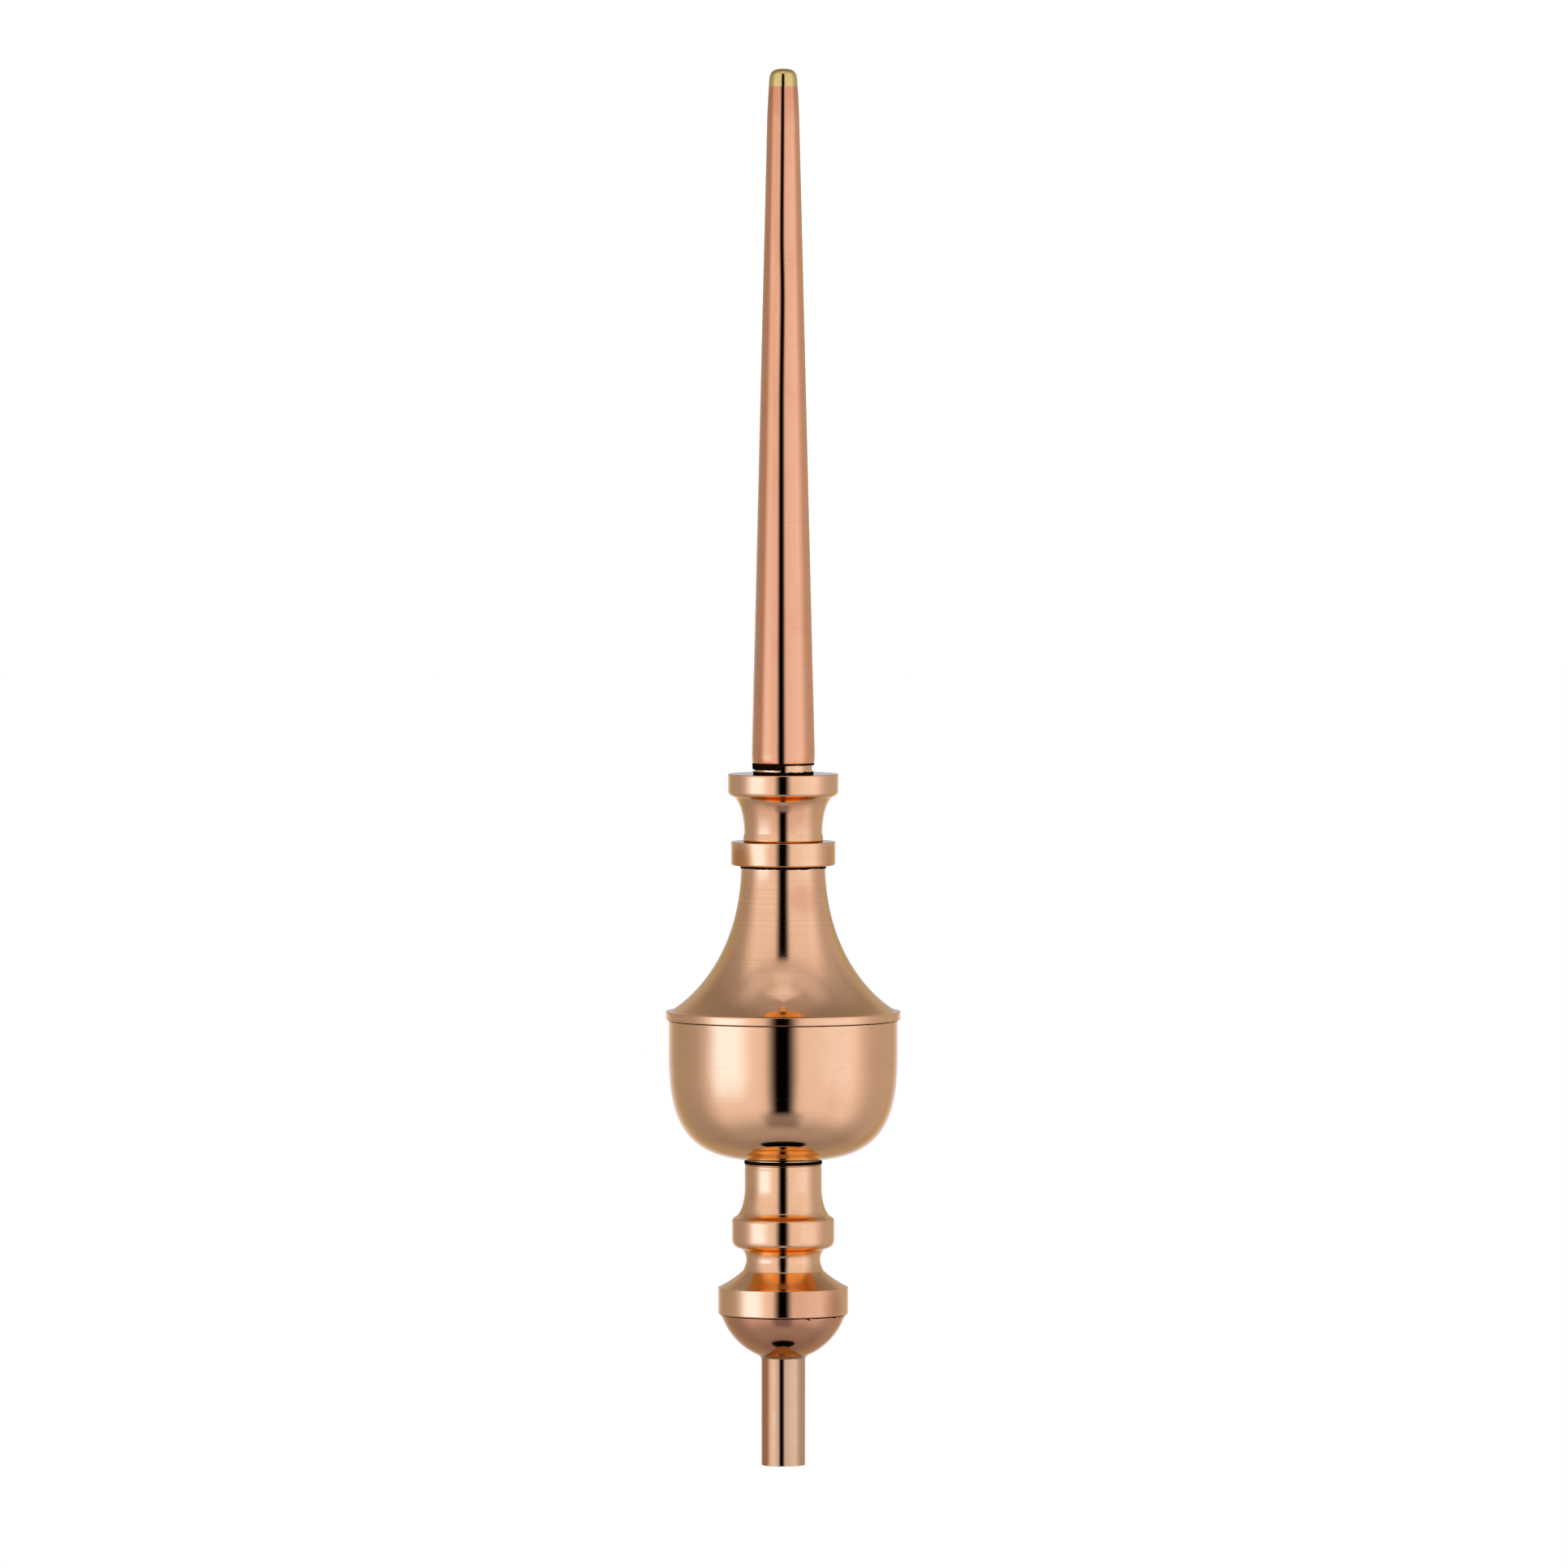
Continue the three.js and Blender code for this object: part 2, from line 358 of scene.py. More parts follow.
@dataclass(frozen=True)
class SpunCopper:
    """Copper sheet spun on a lathe and buffed: a mirror with faint turning rings, slow waves, stained
    patches and, on the collar's cove, a painted reflection.
    """

    name: str = "buffed_spun_copper"
    colour: str = "f7b365"
    warm_colour: str = "dd9350"
    edge_colour: str = "fff3cb"
    roughness: float = 0.06
    roughness_spread: Pair = (0.8, 1.5)
    roughness_span: Pair = (0.3, 0.75)
    ring_spacing_mm: float = 1.6
    ring_depth_mm: float = 0.0004
    ring_slant: float = -0.8
    ring_tone: float = 0.12
    ring_tone_span: Pair = (0.4, 0.75)
    wave_size_mm: float = 26.0
    wave_depth_mm: float = 0.035
    cloud_size_mm: float = 17.0
    cloud_amount: float = 0.22
    cloud_span: Pair = (0.48, 0.78)
    stains_and_reflections: tuple[StainAndReflection, ...] = ()
    ovals: tuple[Pair, ...] = ()
    flank: Flank | None = None
    braze_height_mm: float = 0.0
    braze_wander_mm: float = 2.6
    braze_noise_scale: float = 210.0
    braze_edge_mm: float = 0.4
    braze_colour: str = "e3b857"
    heat_colour: str = "e18c4c"
    heat_reach_mm: float = 20.0
    heat_amount: float = 0.75

    def material(self) -> bpy.types.Material:
        """Builds the copper, with its rings, waves, warm clouds, stained patches and painted reflections."""
        made, tree = blank_material(self.name)
        place = add_node(tree, "ShaderNodeTexCoord", {}).outputs["Object"]
        axes = add_node(tree, "ShaderNodeSeparateXYZ", {0: place})
        flat = add_node(tree, "ShaderNodeCombineXYZ", {"X": axes.outputs["X"], "Y": axes.outputs["Y"]})
        radius = add_node(tree, "ShaderNodeVectorMath", {0: flat.outputs[0]}, operation="LENGTH")
        inputs = {0: radius.outputs["Value"], 1: self.ring_slant, 2: axes.outputs["Z"]}
        along = add_node(tree, "ShaderNodeMath", inputs, operation="MULTIPLY_ADD")
        scale = 1 / (self.ring_spacing_mm * MM)
        inputs = {"W": along.outputs[0], "Scale": scale, "Detail": 3.0, "Roughness": 0.62}
        rings = add_node(tree, "ShaderNodeTexNoise", inputs, noise_dimensions="1D").outputs["Fac"]
        start, stop = self.roughness_span
        low, high = (self.roughness * share for share in self.roughness_spread)
        inputs = {"Value": rings, "From Min": start, "From Max": stop, "To Min": low, "To Max": high}
        ring_rough = add_node(tree, "ShaderNodeMapRange", inputs)
        normal = self.oval(tree, axes, radius.outputs["Value"], self.waves(tree, place))
        inputs = {"Strength": 1.0, "Distance": self.ring_depth_mm * MM, "Height": rings, "Normal": normal}
        fine = add_node(tree, "ShaderNodeBump", inputs)
        shader = add_node(
            tree,
            "ShaderNodeBsdfPrincipled",
            {
                "Base Color": self.tone(tree, place, axes, rings),
                "Metallic": 1.0,
                "Roughness": ring_rough.outputs[0],
                "Specular Tint": linear(self.edge_colour),
                "Normal": fine.outputs[0],
            },
        )
        add_node(tree, "ShaderNodeOutputMaterial", {"Surface": shader.outputs[0]})
        return made

    def tone(self, tree: Tree, place: Socket, axes: Node, rings: Socket) -> Socket:
        """Mixes the clean copper with the warm one in clouds, turning lines, stained patches, painted
        reflections and flank.

        Args:
            tree: the copper's node tree.
            place: the point's place.
            axes: the same place, split in three.
            rings: the pattern of the turning lines.

        Returns:
            The copper's colour, with the brass on it if it has any.
        """
        scale = 1 / (self.cloud_size_mm * MM)
        inputs = {"Vector": place, "Scale": scale, "Detail": 4.0, "Roughness": 0.6}
        clouds = add_node(tree, "ShaderNodeTexNoise", inputs)
        value, (start, stop) = clouds.outputs["Fac"], self.cloud_span
        inputs = {"Value": value, "From Min": start, "From Max": stop, "To Max": self.cloud_amount}
        cloud = add_node(tree, "ShaderNodeMapRange", inputs, interpolation_type="SMOOTHSTEP")
        start, stop = self.ring_tone_span
        inputs = {"Value": rings, "From Min": start, "From Max": stop, "To Max": self.ring_tone}
        lines = add_node(tree, "ShaderNodeMapRange", inputs)
        warmth = add_node(tree, "ShaderNodeMath", {0: cloud.outputs[0], 1: lines.outputs[0]}).outputs[0]
        shares = [stain_and_reflection.weight(tree, place, clouds) for stain_and_reflection in self.stains_and_reflections]
        if self.flank:
            shares.append(self.flank.weight(tree, axes, clouds))
        for share in shares:
            warmth = add_node(tree, "ShaderNodeMath", {0: warmth, 1: share}, operation="MAXIMUM").outputs[0]
        inputs = {0: warmth, 6: linear(self.colour), 7: linear(self.warm_colour)}
        tone = add_node(tree, "ShaderNodeMix", inputs, data_type="RGBA").outputs[2]
        return self.braze(tree, axes.outputs["Z"], place, tone) if self.braze_height_mm else tone

    def waves(self, tree: Tree, place: Socket) -> Socket:
        """Bends the surface in the slow waves that the spinning tool leaves.

        Args:
            tree: the copper's node tree.
            place: the point's place.

        Returns:
            The wavy surface's normal.
        """
        scale = 1 / (self.wave_size_mm * MM)
        inputs = {"Vector": place, "Scale": scale, "Detail": 1.0, "Roughness": 0.4}
        waves = add_node(tree, "ShaderNodeTexNoise", inputs)
        inputs = {"Strength": 1.0, "Distance": self.wave_depth_mm * MM, "Height": waves.outputs["Fac"]}
        return add_node(tree, "ShaderNodeBump", inputs).outputs[0]

    def oval(self, tree: Tree, axes: Node, radius: Socket, normal: Socket) -> Socket:
        """Bends the surface as a slightly oval section does, which moves its reflections sideways.

        Args:
            tree: the copper's node tree.
            axes: the point's place, split in three.
            radius: the point's distance from the axis.
            normal: the normal so far.

        Returns:
            The normal with the oval in it, or the same normal on a piece that is round.
        """
        if not self.ovals:
            return normal
        first, last = self.ovals[0][0], self.ovals[-1][0]
        inputs = {"Value": axes.outputs["Z"], "From Min": first * MM, "From Max": last * MM}
        share = add_node(tree, "ShaderNodeMapRange", inputs)
        ramp = add_node(tree, "ShaderNodeValToRGB", {0: share.outputs[0]})
        ramp.color_ramp.interpolation = "EASE"
        fill_ramp(ramp, [((level - first) / (last - first), (slope,) * 3) for level, slope in self.ovals])
        inputs = {0: axes.outputs["X"], 1: axes.outputs["Y"]}
        across = add_node(tree, "ShaderNodeMath", inputs, operation="MULTIPLY")
        swell = add_node(tree, "ShaderNodeMath", {0: across.outputs[0], 1: radius}, operation="DIVIDE")
        inputs = {0: swell.outputs[0], 1: ramp.outputs[0]}
        height = add_node(tree, "ShaderNodeMath", inputs, operation="MULTIPLY")
        inputs = {"Strength": 1.0, "Distance": 1.0, "Height": height.outputs[0], "Normal": normal}
        return add_node(tree, "ShaderNodeBump", inputs).outputs[0]

    def braze(self, tree: Tree, height: Socket, place: Socket, tone: Socket) -> Socket:
        """Runs brass down over the copper to a ragged edge, with heat colour below it.

        Args:
            tree: the copper's node tree.
            height: the point's height on the axis.
            place: the point's place.
            tone: the copper's colour so far.

        Returns:
            The colour with the brass and the heat in it.
        """
        edge, wander = self.braze_height_mm * MM, self.braze_wander_mm * MM
        inputs = {"Vector": place, "Scale": self.braze_noise_scale, "Detail": 2.0}
        ragged = add_node(tree, "ShaderNodeTexNoise", inputs)
        inputs = {0: ragged.outputs["Fac"], 1: wander * 2, 2: height}
        level = add_node(tree, "ShaderNodeMath", inputs, operation="MULTIPLY_ADD").outputs[0]
        line, soft = edge + wander, self.braze_edge_mm * MM
        steps = (
            (edge - self.heat_reach_mm * MM, edge, self.heat_amount, self.heat_colour),
            (line - soft, line + soft, 1.0, self.braze_colour),
        )
        for start, stop, amount, colour in steps:
            inputs = {"Value": level, "From Min": start, "From Max": stop, "To Max": amount}
            share = add_node(tree, "ShaderNodeMapRange", inputs, interpolation_type="SMOOTHSTEP")
            inputs = {0: share.outputs[0], 6: tone, 7: linear(colour)}
            tone = add_node(tree, "ShaderNodeMix", inputs, data_type="RGBA").outputs[2]
        return tone


@dataclass(frozen=True)
class SolderAndShadeFinish:
    """Soft solder blackened by flux and heat: dark, lumpy and matt, unless it is made metallic. Its dark
    default also paints the shade under the rim's edge and under the collar's lip.
    """

    name: str = "burnt_solder_and_painted_shade"
    colour: str = "0a0604"
    lump_colour: str = "1f110a"
    roughness: float = 0.55
    metallic: float = 0.0
    specular: float = 0.0
    lump_mm: float = 1.3
    bump: Pair = (0.5, 0.00015)

    def material(self) -> bpy.types.Material:
        """Builds the joint metal."""
        made, tree = blank_material(self.name)
        place = add_node(tree, "ShaderNodeTexCoord", {}).outputs["Object"]
        inputs = {"Vector": place, "Scale": 1 / (self.lump_mm * MM), "Detail": 3.0}
        lumps = add_node(tree, "ShaderNodeTexNoise", inputs).outputs["Fac"]
        inputs = {0: lumps, 6: linear(self.colour), 7: linear(self.lump_colour)}
        tone = add_node(tree, "ShaderNodeMix", inputs, data_type="RGBA")
        strength, distance = self.bump
        inputs = {"Strength": strength, "Distance": distance, "Height": lumps}
        bump = add_node(tree, "ShaderNodeBump", inputs)
        shader = add_node(
            tree,
            "ShaderNodeBsdfPrincipled",
            {
                "Base Color": tone.outputs[2],
                "Metallic": self.metallic,
                "Roughness": self.roughness,
                "Specular IOR Level": self.specular,
                "Normal": bump.outputs[0],
            },
        )
        add_node(tree, "ShaderNodeOutputMaterial", {"Surface": shader.outputs[0]})
        return made


def hand_over(
    piece: bpy.types.Object, finish: bpy.types.Material, node: str = ""
) -> None:
    """Dresses a finished piece and gives it to the frame.

    Args:
        piece: the modelled piece.
        finish: its material.
        node: the CAD node that it stands for, if any.
    """
    piece.data.materials.clear()
    piece.data.materials.append(finish)
    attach(piece, "root")
    if node:
        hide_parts(node)
        near, far = Vector(piece.bound_box[0]), Vector(piece.bound_box[6])
        low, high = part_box(node)
        drift = max((near - low).length, (far - high).length) / MM
        LOG.info("%s stands for %s, corners within %.2f mm", piece.name, node, drift)
    LOG.info("%s has %d faces", piece.name, len(piece.data.polygons))


def turn_piece(
    node: str, outline: Outline, finish: SpunCopper, steps: int = SPIN_STEPS
) -> None:
    """Spins and dresses the piece that stands for a CAD node.

    Args:
        node: the CAD node's name.
        outline: the piece's section.
        finish: what the piece is made of.
        steps: how many sides it has round its axis.
    """
    piece = spin_up(f"spun_{node}", outline, steps)
    hand_over(piece, finish.material(), node)


@dataclass
class Foot:
    """The stem tube, the half ball and the baluster. Sizes in millimetres."""

    tube_diameter: float = 22.2
    tube_wall: float = 1.1
    tube_showing: float = 55.1
    ball_diameter: float = 65.8
    seam_below_equator: float = 9.6
    solder_gap: float = 0.2
    skirt_lap: float = 1.43
    skirt_height: float = 13.7
    waist_diameter: float = 37.6
    shoulder_rise: float = 13.8
    undercut_rise: float = 5.9
    bead_diameter: float = 51.8
    bead_height: float = 16.3
    bead_corner: float = 4.5
    sleeve_diameter: float = 39.0
    sleeve_height: float = 26.0
    groove_depth: float = 0.5
    groove_height: float = 2.4

    def __post_init__(self) -> None:
        """Works out the heights that the other pieces start from."""
        ball, tube = self.ball_diameter / 2, self.tube_diameter / 2
        self.ball_centre = self.tube_showing + math.sqrt(ball**2 - tube**2)
        self.seam = self.ball_centre - self.seam_below_equator
        self.seam_radius = math.sqrt(ball**2 - self.seam_below_equator**2)
        rise = self.skirt_height + self.shoulder_rise + self.undercut_rise + self.bead_height
        self.neck = self.seam + rise + self.sleeve_height
        self.top = self.neck + self.groove_height

    def stem_tube(self) -> Outline:
        """Outlines the tube, with its square-cut lower end eased by the cutter."""
        outer = self.tube_diameter / 2
        inner = outer - self.tube_wall
        ease = 0.18
        return (
            Outline(inner, ease)
            .bend((inner, 0), (inner + ease, 0), 3)
            .line(outer - ease, 0)
            .bend((outer, 0), (outer, ease), 3)
            .line(outer, self.seam)
            .line(inner, self.seam)
            .line(inner, ease)
        )

    def bottom_cup(self) -> Outline:
        """Outlines the half ball between the tube and the skirt."""
        ball, hole, steps = self.ball_diameter / 2, self.tube_diameter / 2 + self.solder_gap, 40
        start = math.acos(hole / ball)
        end = math.asin(self.seam_below_equator / ball)
        edge = self.ball_centre - ball * math.sin(start)
        outline = Outline(hole, edge)
        for i in range(1, steps + 1):
            angle = start + (end - start) * i / steps
            level = self.ball_centre - ball * math.sin(angle)
            outline.points.append(Vector((ball * math.cos(angle), level)))
        return outline.line(hole, self.seam).line(hole, edge)

    def baluster(self) -> Outline:
        """Outlines the skirt, shoulder, waist, undercut, bead, sleeve and neck."""
        skirt, waist = self.seam_radius + self.skirt_lap, self.waist_diameter / 2
        bead, sleeve = self.bead_diameter / 2, self.sleeve_diameter / 2
        seat = sleeve - self.groove_depth
        slope, overhang, back = skirt - waist, bead - waist, bead - sleeve
        skirt_top = self.seam + self.skirt_height
        waist_level = skirt_top + self.shoulder_rise
        bead_foot = waist_level + self.undercut_rise
        bead_top = bead_foot + self.bead_height
        rise, under, tall = self.shoulder_rise, self.undercut_rise, self.sleeve_height
        round_off, hem = self.bead_corner, 0.8
        return (
            Outline(0, self.seam)
            .line(skirt - hem, self.seam)
            .bend((skirt, self.seam), (skirt, self.seam + hem))
            .line(skirt, skirt_top - 0.25)
            .bend((skirt, skirt_top), (skirt - 0.35, skirt_top + 0.05), 4)
            .sweep(
                (skirt - 0.32 * slope, skirt_top + 0.15 * rise),
                (waist + 0.32 * slope, skirt_top + 0.39 * rise),
                (waist + 0.11 * slope, skirt_top + 0.6 * rise),
            )
            .sweep(
                (waist + 0.05 * slope, skirt_top + 0.71 * rise),
                (waist, skirt_top + 0.83 * rise),
                (waist, waist_level),
                14,
            )
            .sweep(
                (waist, waist_level + 0.6 * under),
                (waist + 0.3 * overhang, waist_level + 0.95 * under),
                (waist + 0.5 * overhang, bead_foot),
                14,
            )
            .bend((bead, bead_foot + 0.2 * round_off), (bead, bead_foot + round_off), 10)
            .line(bead, bead_top - 0.6 * round_off)
            .bend((bead, bead_top - 0.25 * round_off), (bead - 0.38 * back, bead_top), 10)
            .sweep(
                (sleeve + 0.3 * back, bead_top + 0.08 * tall),
                (sleeve + 0.06 * back, bead_top + 0.22 * tall),
                (sleeve, bead_top + 0.52 * tall),
                20,
            )
            .line(sleeve, self.neck - 2.2)
            .bend((sleeve - 0.22, self.neck - 1.7), (sleeve - 0.05, self.neck - 1.0), 5)
            .bend((sleeve, self.neck), (seat, self.neck), 5)
            .line(seat, self.top)
            .line(0, self.top)
        )

    def build(self, copper: SpunCopper, cup_copper: SpunCopper, tube_copper: SpunCopper) -> None:
        """Spins and dresses the three pieces.

        Args:
            copper: the baluster's finish, with its stains.
            cup_copper: the half ball's duller finish.
            tube_copper: the drawn tube's finish.
        """
        turn_piece("stem_tube", self.stem_tube(), tube_copper)
        turn_piece("bottom_cup", self.bottom_cup(), cup_copper)
        turn_piece("baluster", self.baluster(), copper)


@dataclass
class Urn:
    """The bowl, its flared cover and the ring. Sizes in millimetres."""

    base: float
    seat_radius: float
    bowl_diameter: float = 115.8
    bowl_side_height: float = 9.4
    bowl_round_height: float = 62.0
    bowl_squareness: float = 3.3
    rim_lap: float = 1.4
    rim_height: float = 4.3
    rim_corner: float = 0.7
    rim_ledge: float = 1.85
    flare_height: float = 73.7
    cover_top_diameter: float = 42.7
    ring_diameter: float = 52.8
    ring_height: float = 12.0

    def __post_init__(self) -> None:
        """Works out where the round of the bowl meets its seat, and the heights above it."""
        bowl, power = self.bowl_diameter / 2, self.bowl_squareness
        self.seat_angle = math.acos((self.seat_radius / bowl) ** (power / 2))
        drop = self.bowl_round_height * math.sin(self.seat_angle) ** (2 / power)
        self.equator = self.base + drop
        self.rim_foot = self.equator + self.bowl_side_height
        self.rim_top = self.rim_foot + self.rim_height
        self.ring_foot = self.rim_top + self.flare_height
        self.top = self.ring_foot + self.ring_height

    def urn_bowl(self) -> Outline:
        """Outlines the bowl as a squared ellipse under a short upright side."""
        bowl, power, steps = self.bowl_diameter / 2, self.bowl_squareness, 72
        outline = Outline(0, self.base).line(self.seat_radius, self.base)
        for i in range(1, steps + 1):
            angle = self.seat_angle * (1 - i / steps)
            across = bowl * math.cos(angle) ** (2 / power)
            down = self.bowl_round_height * math.sin(angle) ** (2 / power)
            outline.points.append(Vector((across, self.equator - down)))
        return outline.line(bowl, self.rim_foot).line(0, self.rim_foot)

    def urn_cover(self) -> Outline:
        """Outlines the rim with its rolled edges, the ledge and the flare."""
        rim = self.bowl_diameter / 2 + self.rim_lap
        start = rim - self.rim_corner - self.rim_ledge
        top = self.cover_top_diameter / 2
        sweep, tall = start - top, self.flare_height
        roll = 0.45
        return (
            Outline(0, self.rim_foot)
            .line(rim - roll, self.rim_foot)
            .bend((rim, self.rim_foot), (rim, self.rim_foot + roll), 5)
            .line(rim, self.rim_top - self.rim_corner)
            .bend((rim, self.rim_top), (rim - self.rim_corner, self.rim_top), 6)
            .line(start + 0.5, self.rim_top)
            .bend((start, self.rim_top), (start - 0.35, self.rim_top + 0.3), 4)
            .sweep(
                (start - 0.455 * sweep, self.rim_top + 0.139 * tall),
                (top, self.rim_top + 0.465 * tall),
                (top, self.ring_foot),
                84,
            )
            .line(0, self.ring_foot)
        )

    def collar_ring(self) -> Outline:
        """Outlines the plain ring with its eased corners."""
        ring, lower, upper = self.ring_diameter / 2, 1.2, 0.5
        return (
            Outline(0, self.ring_foot)
            .line(ring - lower, self.ring_foot)
            .bend((ring, self.ring_foot), (ring, self.ring_foot + lower), 7)
            .line(ring, self.top - upper)
            .bend((ring, self.top), (ring - upper, self.top), 5)
            .line(0, self.top)
        )

    def build(self, copper: SpunCopper, cover_copper: SpunCopper, ring_copper: SpunCopper) -> None:
        """Spins and dresses the three pieces.

        Args:
            copper: the finish of the bowl.
            cover_copper: the finish of the cover, with its stains.
            ring_copper: the finish of the ring, with its tarnish.
        """
        turn_piece("urn_bowl", self.urn_bowl(), copper, steps=FINE_SPIN_STEPS)
        turn_piece("urn_cover", self.urn_cover(), cover_copper, steps=FINE_SPIN_STEPS)
        turn_piece("collar_ring", self.collar_ring(), ring_copper)


@dataclass
class Head:
    """The collar, the spire and its brass nose. Sizes in millimetres."""

    base: float
    lip_diameter: float = 40.5
    lip_height: float = 1.8
    waist_diameter: float = 39.5
    cove_height: float = 20.8
    flange_diameter: float = 55.8
    flange_height: float = 11.6
    flange_corner: float = 3.0
    spigot_diameter: float = 29.4
    spigot_height: float = 5.0
    foot_diameter: float = 31.9
    nose_diameter: float = 14.6
    spire_length: float = 341.5
    nose_height: float = 9.0
    drawn_in_height: float = 14.0

    def __post_init__(self) -> None:
        """Works out the heights of the flange, the spire and the nose."""
        self.flange_foot = self.base + self.lip_height + self.cove_height
        self.flange_top = self.flange_foot + self.flange_height
        self.spire_foot = self.flange_top + self.spigot_height
        self.nose_foot = self.spire_foot + self.spire_length

    def upper_collar(self) -> Outline:
        """Outlines the lip, the cove, the flange and the spigot."""
        lip, waist = self.lip_diameter / 2, self.waist_diameter / 2
        flange, spigot = self.flange_diameter / 2, self.spigot_diameter / 2
        lip_top = self.base + self.lip_height
        opening, tall, corner = flange - waist, self.cove_height, self.flange_corner
        ease, hollow = 0.7, 0.4
        return (
            Outline(0, self.base)
            .line(lip - 1.0, self.base)
            .bend((lip, self.base), (lip, self.base + 0.6 * self.lip_height), 6)
            .bend((lip, lip_top), (waist, lip_top + 0.1 * tall), 6)
            .sweep(
                (waist, lip_top + 0.55 * tall),
                (waist + 0.3 * opening, lip_top + 0.92 * tall),
                (waist + 0.68 * opening, self.flange_foot),
                30,
            )
            .bend((flange, self.flange_foot + 0.3 * corner), (flange, self.flange_foot + corner), 10)
            .line(flange, self.flange_top - ease)
            .bend((flange, self.flange_top), (flange - ease, self.flange_top), 6)
            .line(spigot + hollow, self.flange_top)
            .bend((spigot, self.flange_top), (spigot, self.flange_top + hollow), 4)
            .line(spigot, self.spire_foot)
            .line(0, self.spire_foot)
        )

    def spire(self) -> Outline:
        """Outlines the spire from its crimped foot to its drawn-in end."""
        foot, nose = self.foot_diameter / 2, self.nose_diameter / 2
        taper = self.nose_foot - self.drawn_in_height
        share = (taper - self.spire_foot) / self.spire_length
        straight = foot + (nose * 1.06 - foot) * share
        return (
            Outline(0, self.spire_foot)
            .line(foot - 0.85, self.spire_foot)
            .bend((foot - 0.55, self.spire_foot), (foot - 0.45, self.spire_foot + 0.4), 3)
            .bend((foot, self.spire_foot + 1.9), (foot, self.spire_foot + 5.0), 10)
            .line(straight, taper)
            .bend((nose * 1.05, self.nose_foot - 5.6), (nose, self.nose_foot), 12)
            .line(0, self.nose_foot)
        )

    def brass_nose(self) -> Outline:
        """Outlines the blunt dome that closes the spire."""
        nose, tall = self.nose_diameter / 2, self.nose_height
        return (
            Outline(0, self.nose_foot)
            .line(nose, self.nose_foot)
            .sweep(
                (0.95 * nose, self.nose_foot + 0.6 * tall),
                (1.05 * nose, self.nose_foot + tall),
                (0, self.nose_foot + tall),
                26,
            )
        )

    def build(self, copper: SpunCopper, spire_copper: SpunCopper, nose_brass: SpunCopper) -> None:
        """Spins and dresses the three pieces.

        Args:
            copper: the finish of the collar.
            spire_copper: the finish of the spire, with the brazing at its end.
            nose_brass: the finish of the nose.
        """
        turn_piece("upper_collar", self.upper_collar(), copper)
        turn_piece("spire", self.spire(), spire_copper)
        turn_piece("brass_nose", self.brass_nose(), nose_brass)


@dataclass(frozen=True)
class Seam:
    """A thin dark ring round the object: joint metal at most seams, painted shade under the collar's lip and
    both under the rim's edge. Sizes in millimetres.
    """

    name: str
    inner: float
    outer: float
    low: float
    high: float
    ragged: float
    lump: float = 3.0

    def outline(self) -> Outline:
        """Outlines the seam's section, a little rounded."""
        ease = min(self.outer - self.inner, self.high - self.low) * 0.3
        return (
            Outline(self.inner, self.low)
            .line(self.outer - ease, self.low)
            .bend((self.outer, self.low), (self.outer, self.low + ease), 3)
            .line(self.outer, self.high - ease)
            .bend((self.outer, self.high), (self.outer - ease, self.high), 3)
            .line(self.inner, self.high)
            .line(self.inner, self.low)
        )

    def run(self) -> bpy.types.Object:
        """Spins the seam and makes it uneven, as hand-run solder is."""
        piece = spin_up(self.name, self.outline(), FINE_SPIN_STEPS)
        roughen(piece, self.ragged, self.lump)
        return piece


def roughen(piece: bpy.types.Object, depth_mm: float, lump_mm: float) -> None:
    """Pushes a piece's surface in and out by a cloud pattern.

    Args:
        piece: the piece, which is the active object.
        depth_mm: how far the surface moves between its highest and lowest.
        lump_mm: how wide one lump is.
    """
    clouds = bpy.data.textures.new(piece.name, "CLOUDS")
    clouds.noise_scale = lump_mm * MM
    push = piece.modifiers.new("uneven", "DISPLACE")
    push.texture = clouds
    push.texture_coords = "LOCAL"
    push.strength = depth_mm * MM
    push.mid_level = 0.5
    bpy.ops.object.modifier_apply(modifier=push.name)


